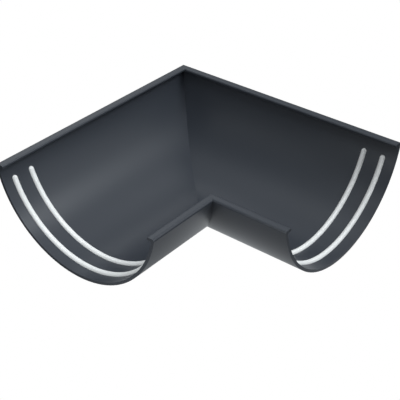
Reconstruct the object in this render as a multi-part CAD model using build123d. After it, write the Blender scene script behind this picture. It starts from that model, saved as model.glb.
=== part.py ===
"""A 90 degree external angle for a half-round roof gutter, with sealing beads in both open ends.

Millimetres, +Z up. The left arm runs along +X to its open end and the right arm along +Y.
The outer corner of the mitre points towards -X and -Y, away from the house.
The origin lies under the part, midway between the outer corner and the open ends.
"""

from build123d import *
from math import acos, degrees
import os

# Trough
rim_width = 130.0  # across the outside of the two rims
trough_depth = 56.4  # from the underside up to the top of the rims
arm_length = 182.5  # from the outer corner of the mitre to an open end
wall_thickness = 2.0

# Lips, which turn in flat from the rims
front_lip_width = 6.1  # from the outside of the rim to the lip's free edge
rear_lip_width = 5.2
lip_thickness = 2.0

# Roundings along the arms
rim_rounding = 1.5  # outside, where the wall turns into the lip
lip_top_edge_rounding = 1.0  # on top of each lip's free side
lip_under_edge_rounding = 0.5  # under it
lip_root_rounding = 1.0  # inside, under the lip

# Sealing beads
bead_radius = 1.8
outer_bead_inset = 9.2  # from the open end to the middle of the first bead
bead_pitch = 14.0  # from the middle of the first bead to the middle of the second
bead_stop_below_rim = 11.3  # from the top of the rims down to the beads' ends

# The trough's arc, which touches the underside and runs into the rounded rims
rounding_middle = rim_width / 2 - rim_rounding  # from the middle of the trough
outer_radius = (trough_depth + rounding_middle**2 / (trough_depth - 2 * rim_rounding)) / 2
inner_radius = outer_radius - wall_thickness
arc_above_rim = outer_radius - trough_depth
lip_underside = trough_depth - lip_thickness

# Places in the part's frame
outer_corner = -arm_length / 2
open_end = arm_length / 2
trough_middle = outer_corner + rim_width / 2
mitre = Plane(origin=(outer_corner, outer_corner, 0), z_dir=(1, -1, 0))
near = 0.001


def at_height(corners, height):
    """The corners of a section at one height, from front to rear."""
    return corners.filter_by_position(Axis.Y, height - near, height + near).sort_by(Axis.X)


def sharp_section():
    """The section across an arm with sharp corners, front to the left, on the underside's middle."""
    arc_centre = Pos(0, outer_radius)
    from_rim_down = (Align.CENTER, Align.MAX)
    below_rim = Pos(0, trough_depth) * Rectangle(4 * outer_radius, 4 * outer_radius, align=from_rim_down)
    outline = (arc_centre * Circle(outer_radius)) & below_rim
    lip_layer = Pos(0, trough_depth) * Rectangle(4 * outer_radius, lip_thickness, align=from_rim_down)
    mouth_width = rim_width - front_lip_width - rear_lip_width
    mouth_start = front_lip_width - rim_width / 2
    mouth = Rectangle(mouth_width, lip_thickness, align=(Align.MIN, Align.MAX))
    lips = (outline & lip_layer) - Pos(mouth_start, trough_depth) * mouth
    walls = outline - arc_centre * Circle(inner_radius)
    return walls + lips


def trough_section():
    """The section across an arm, with its rims, lip edges and lip roots rounded."""
    section = sharp_section()
    lip_edges = ((trough_depth, lip_top_edge_rounding), (lip_underside, lip_under_edge_rounding))
    for height, radius in lip_edges:
        section = fillet(at_height(section.vertices(), height)[1:-1], radius)
    wall_corners = ((trough_depth, rim_rounding), (lip_underside, lip_root_rounding))
    for height, radius in wall_corners:
        corners = at_height(section.vertices(), height)
        section = fillet([corners[0], corners[-1]], radius)
    return section


def left_arm():
    """The arm along +X, square at its open end and cut off at the mitre."""
    across = Plane(origin=(outer_corner, trough_middle, 0), x_dir=(0, 1, 0), z_dir=(1, 0, 0))
    straight = extrude(across * trough_section(), arm_length)
    return split(straight, bisect_by=mitre, keep=Keep.TOP)


def gutter_angle():
    """Both arms as one piece, the right arm mirrored in the mitre."""
    arm = left_arm()
    return arm + mirror(arm, about=mitre)


def left_seal(inset):
    """A half-round bead on the inside of the left arm, from below one rim to below the other.

    inset is the distance from the open end to the middle of the bead. The ends are rounded, and
    the back of the bead follows the trough.
    """
    centre = Vector(open_end - inset, trough_middle, outer_radius)
    arc_axis = Axis(centre, (1, 0, 0))
    upwards = Axis(centre, (0, 0, 1))
    stop_angle = degrees(acos((arc_above_rim + bead_stop_below_rim) / inner_radius))
    end_angle = stop_angle - degrees(bead_radius / inner_radius)

    upright = Plane(origin=centre, x_dir=(1, 0, 0), z_dir=(0, 1, 0))
    on_wall = upright * Pos(0, inner_radius)
    inner_side = Rectangle(4 * bead_radius, 2 * bead_radius, align=(Align.CENTER, Align.MAX))
    profile = on_wall * (Circle(bead_radius) & inner_side)
    bead = revolve(profile.rotate(arc_axis, -end_angle), arc_axis, 2 * end_angle)

    end_side = Rectangle(2 * bead_radius, 4 * bead_radius, align=(Align.MIN, Align.CENTER))
    half_ball = revolve(on_wall * (Circle(bead_radius) & end_side), upwards, 180)
    inside = Plane(origin=centre, z_dir=(1, 0, 0)) * Cylinder(inner_radius, 4 * bead_radius)
    rear_tip = (half_ball & inside).rotate(arc_axis, end_angle)
    return bead + rear_tip + mirror(rear_tip, about=upright)


def all_pieces():
    """Every piece by its name."""
    left_outer_seal = left_seal(outer_bead_inset)
    left_inner_seal = left_seal(outer_bead_inset + bead_pitch)
    return {
        "gutter_angle": gutter_angle(),
        "left_outer_seal": left_outer_seal,
        "left_inner_seal": left_inner_seal,
        "right_outer_seal": mirror(left_outer_seal, about=mitre),
        "right_inner_seal": mirror(left_inner_seal, about=mitre),
    }


os.makedirs("parts", exist_ok=True)
for name, piece in all_pieces().items():
    export_step(piece, f"parts/{name}.step")
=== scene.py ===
"""Dresses the gutter angle in its anthracite plastic and white seals, on a white studio floor.

Metres, in the part's own frame: the left arm along +X, the right arm along +Y, +Z up.
"""

from math import cos, e, radians, sin

import bpy
from mathutils import Matrix, Vector


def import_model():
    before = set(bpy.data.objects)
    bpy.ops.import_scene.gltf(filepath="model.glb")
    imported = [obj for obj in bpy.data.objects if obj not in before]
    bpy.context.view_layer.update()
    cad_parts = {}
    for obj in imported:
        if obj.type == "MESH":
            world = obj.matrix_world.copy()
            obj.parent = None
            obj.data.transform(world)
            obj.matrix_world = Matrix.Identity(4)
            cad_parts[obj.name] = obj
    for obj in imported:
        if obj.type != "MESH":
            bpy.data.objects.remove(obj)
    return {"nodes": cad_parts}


# Camera, on the house side of the angle and above it
camera_place = (0.42147, 0.33643, 0.37631)
camera_azimuth = 38.744  # degrees from +X towards +Y, as seen from the part
camera_elevation = 33.437  # degrees above the floor
camera_roll = 0.178  # degrees
focal_pixels = 988.95
picture_pixels = 400
sensor_width = 36.0  # millimetres

# Studio
floor_size = 8.0
floor_white = 1.0  # what the camera sees
light_tint = (0.955, 1.0, 1.035, 1)  # slightly cool
plain_white = (1, 1, 1, 1)
floor_glow = 0.05  # what all of the floor throws back
# Painted pools of light, where the floor glows for all but camera rays in place of light it would
# throw back close to the part: x, y and reach in metres, and brightness
painted_light_pools = (
    (-0.030, 0.030, 0.060, 0.78),
    (0.150, 0.030, 0.060, 0.46),
    (0.050, 0.100, 0.060, 0.23),
    (0.000, 0.000, 0.120, 0.11),
    (0.100, 0.050, 0.060, 0.17),
)
# Soft lights in the sky: azimuth from +X towards +Y, elevation, sharpness and brightness
glows = (
    (115.8, 50.2, 73, 13.50),
    (45.2, 78.3, 70, 6.38),
    (104.3, 12.6, 77, 2.65),
    (73.4, 43.7, 41, 2.46),
    (-130.2, 33.9, 52, 1.81),
    (-108.2, 78.7, 14, 1.27),
    (-175.0, 39.3, 28, 1.26),
    (136.0, 21.3, 11, 0.63),
    (-40.8, 27.4, 19, 0.56),
)
# Lamps by the left arm's open end: place in metres, and watts
lamps = (
    ((0.30, 0.00, 0.10), 0.148),
    ((0.12, 0.00, 0.30), 0.057),
)
lamp_width = 0.12
lamp_aim = (0.075, -0.020, 0.020)  # inside the left arm, by its seals

# Moulded skin
patch_detail = 4
grain_detail = 3
noise_middle = 0.5
plastic_grain_depth = 0.000002
seal_grain_depth = 0.000004


def new_material(name):
    """A material with a Principled shader, and its nodes and links."""
    material = bpy.data.materials.new(name)
    material.use_nodes = True
    return material, material.node_tree.nodes, material.node_tree.links


def moulded_skin():
    """A group that mottles a colour and a roughness and gives the height of a fine moulded grain.

    Patch and grain sizes are numbers of repeats in a metre.
    """
    group = bpy.data.node_groups.new("moulded_skin", "ShaderNodeTree")
    ins = (
        ("Colour", "NodeSocketColor"),
        ("Patch Colour", "NodeSocketColor"),
        ("Patch Scale", "NodeSocketFloat"),
        ("Roughness", "NodeSocketFloat"),
        ("Roughness Spread", "NodeSocketFloat"),
        ("Grain Scale", "NodeSocketFloat"),
    )
    outs = (
        ("Colour", "NodeSocketColor"),
        ("Roughness", "NodeSocketFloat"),
        ("Height", "NodeSocketFloat"),
    )
    for name, kind in ins:
        group.interface.new_socket(name, in_out="INPUT", socket_type=kind)
    for name, kind in outs:
        group.interface.new_socket(name, in_out="OUTPUT", socket_type=kind)
    nodes, links = group.nodes, group.links
    given = nodes.new("NodeGroupInput")
    result = nodes.new("NodeGroupOutput")
    place = nodes.new("ShaderNodeTexCoord")

    patches = nodes.new("ShaderNodeTexNoise")
    patches.inputs["Detail"].default_value = patch_detail
    links.new(place.outputs["Object"], patches.inputs["Vector"])
    links.new(given.outputs["Patch Scale"], patches.inputs["Scale"])

    grain = nodes.new("ShaderNodeTexNoise")
    grain.inputs["Detail"].default_value = grain_detail
    links.new(place.outputs["Object"], grain.inputs["Vector"])
    links.new(given.outputs["Grain Scale"], grain.inputs["Scale"])

    tint = nodes.new("ShaderNodeMix")
    tint.data_type = "RGBA"
    links.new(patches.outputs["Fac"], tint.inputs["Factor"])
    links.new(given.outputs["Colour"], tint.inputs["A"])
    links.new(given.outputs["Patch Colour"], tint.inputs["B"])

    centred = nodes.new("ShaderNodeMath")
    centred.operation = "SUBTRACT"
    centred.inputs[1].default_value = noise_middle
    links.new(patches.outputs["Fac"], centred.inputs[0])

    rougher = nodes.new("ShaderNodeMath")
    rougher.operation = "MULTIPLY_ADD"
    links.new(centred.outputs[0], rougher.inputs[0])
    links.new(given.outputs["Roughness Spread"], rougher.inputs[1])
    links.new(given.outputs["Roughness"], rougher.inputs[2])

    links.new(tint.outputs["Result"], result.inputs["Colour"])
    links.new(rougher.outputs[0], result.inputs["Roughness"])
    links.new(grain.outputs["Fac"], result.inputs["Height"])
    return group


def moulded_material(name, skin, values, grain_depth):
    """A moulded material whose colour, roughness and grain come from the skin group."""
    material, nodes, links = new_material(name)
    shader = nodes["Principled BSDF"]
    surface = nodes.new("ShaderNodeGroup")
    surface.node_tree = skin
    for socket, value in values.items():
        surface.inputs[socket].default_value = value
    bump = nodes.new("ShaderNodeBump")
    bump.inputs["Distance"].default_value = grain_depth
    links.new(surface.outputs["Colour"], shader.inputs["Base Color"])
    links.new(surface.outputs["Roughness"], shader.inputs["Roughness"])
    links.new(surface.outputs["Height"], bump.inputs["Height"])
    links.new(bump.outputs["Normal"], shader.inputs["Normal"])
    return material


def anthracite_plastic(skin):
    """Dark blue-grey moulded plastic with a soft gloss."""
    values = {
        "Colour": (0.0388, 0.0444, 0.0554, 1),
        "Patch Colour": (0.0400, 0.0458, 0.0570, 1),
        "Patch Scale": 18,
        "Roughness": 0.33,
        "Roughness Spread": 0.02,
        "Grain Scale": 1800,
    }
    return moulded_material("anthracite_plastic", skin, values, plastic_grain_depth)


def white_seal(skin):
    """Smooth white sealing compound."""
    values = {
        "Colour": (0.97, 0.97, 0.95, 1),
        "Patch Colour": (0.94, 0.94, 0.92, 1),
        "Patch Scale": 120,
        "Roughness": 0.45,
        "Roughness Spread": 0.1,
        "Grain Scale": 2500,
    }
    return moulded_material("white_seal", skin, values, seal_grain_depth)


def dress(nodes):
    """Gives the body and the seals their materials."""
    skin = moulded_skin()
    plastic = anthracite_plastic(skin)
    seal = white_seal(skin)
    for name, piece in nodes.items():
        piece.data.materials.clear()
        piece.data.materials.append(seal if name.endswith("_seal") else plastic)


def joined(nodes, links, operation, first, second):
    """A Math node whose two inputs are sockets or numbers."""
    node = nodes.new("ShaderNodeMath")
    node.operation = operation
    for socket, value in zip(node.inputs, (first, second)):
        if isinstance(value, (int, float)):
            socket.default_value = value
        else:
            links.new(value, socket)
    return node.outputs[0]


def make_floor():
    """A plain white floor under the part; to all but camera rays it glows in soft painted pools
    of light, which light the part.
    """
    bpy.ops.mesh.primitive_plane_add(size=floor_size)
    floor = bpy.context.object
    floor.name = "floor"
    material, nodes, links = new_material("floor_white")
    nodes.remove(nodes["Principled BSDF"])
    place = nodes.new("ShaderNodeTexCoord").outputs["Object"]
    painted_glow = floor_glow
    # painted pools of light: the floor glows brighter round each point, for all but camera rays
    for x, y, reach, brightness in painted_light_pools:
        away = nodes.new("ShaderNodeVectorMath")
        away.operation = "DISTANCE"
        links.new(place, away.inputs[0])
        away.inputs[1].default_value = (x, y, 0)
        share = joined(nodes, links, "DIVIDE", away.outputs["Value"], reach)
        falloff = joined(nodes, links, "POWER", share, 2.0)
        pool = joined(nodes, links, "POWER", 1 / e, falloff)
        lit = joined(nodes, links, "MULTIPLY", pool, brightness)
        painted_glow = joined(nodes, links, "ADD", lit, painted_glow)
    seen = nodes.new("ShaderNodeLightPath").outputs["Is Camera Ray"]
    strength = nodes.new("ShaderNodeMix")
    links.new(seen, strength.inputs["Factor"])
    links.new(painted_glow, strength.inputs["A"])
    strength.inputs["B"].default_value = floor_white
    tint = nodes.new("ShaderNodeMix")
    tint.data_type = "RGBA"
    links.new(seen, tint.inputs["Factor"])
    tint.inputs["A"].default_value = light_tint
    tint.inputs["B"].default_value = plain_white
    white = nodes.new("ShaderNodeEmission")
    links.new(tint.outputs["Result"], white.inputs["Color"])
    links.new(strength.outputs["Result"], white.inputs["Strength"])
    links.new(white.outputs["Emission"], nodes["Material Output"].inputs["Surface"])
    floor.data.materials.append(material)


def towards(azimuth, elevation):
    """The direction of an azimuth and an elevation, in degrees."""
    flat = cos(radians(elevation))
    return (flat * cos(radians(azimuth)), flat * sin(radians(azimuth)), sin(radians(elevation)))


def light_studio():
    """Soft glows all round in the sky, the strongest above on the camera's right."""
    world = bpy.data.worlds.new("studio")
    bpy.context.scene.world = world
    world.use_nodes = True
    nodes, links = world.node_tree.nodes, world.node_tree.links
    background = nodes["Background"]
    background.inputs["Color"].default_value = light_tint
    sight = nodes.new("ShaderNodeTexCoord").outputs["Generated"]
    total = 0.0
    for azimuth, elevation, sharpness, brightness in glows:
        facing = nodes.new("ShaderNodeVectorMath")
        facing.operation = "DOT_PRODUCT"
        links.new(sight, facing.inputs[0])
        facing.inputs[1].default_value = towards(azimuth, elevation)
        below_one = joined(nodes, links, "SUBTRACT", facing.outputs["Value"], 1.0)
        exponent = joined(nodes, links, "MULTIPLY", below_one, sharpness)
        glow = joined(nodes, links, "POWER", e, exponent)
        lit = joined(nodes, links, "MULTIPLY", glow, brightness)
        total = joined(nodes, links, "ADD", lit, total)
    links.new(total, background.inputs["Strength"])


def place_lamps():
    """Two small soft lamps, which brighten the left arm's seals."""
    for number, (place, watts) in enumerate(lamps, 1):
        light = bpy.data.lights.new(f"lamp_{number}", "AREA")
        light.shape = "DISK"
        light.size = lamp_width
        light.energy = watts
        light.color = light_tint[:3]
        lamp = bpy.data.objects.new(f"lamp_{number}", light)
        lamp.location = place
        backwards = Vector(place) - Vector(lamp_aim)
        lamp.rotation_euler = backwards.to_track_quat("Z", "Y").to_euler()
        lamp.visible_camera = False
        bpy.context.collection.objects.link(lamp)


def set_camera():
    """The camera at the photograph's place, angle and lens."""
    lens = bpy.data.cameras.new("camera")
    lens.sensor_width = sensor_width
    lens.lens = sensor_width * focal_pixels / picture_pixels
    camera = bpy.data.objects.new("camera", lens)
    turn = Matrix.Rotation(radians(90 + camera_azimuth), 4, "Z")
    tilt = Matrix.Rotation(radians(90 - camera_elevation), 4, "X")
    roll = Matrix.Rotation(radians(camera_roll), 4, "Z")
    camera.matrix_world = Matrix.Translation(camera_place) @ turn @ tilt @ roll
    bpy.context.collection.objects.link(camera)
    bpy.context.scene.camera = camera


def main():
    """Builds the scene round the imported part."""
    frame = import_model()
    bpy.ops.object.select_all(action="DESELECT")
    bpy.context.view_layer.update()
    dress(frame["nodes"])
    make_floor()
    light_studio()
    place_lamps()
    set_camera()
    bpy.context.scene.view_settings.view_transform = "Standard"


main()
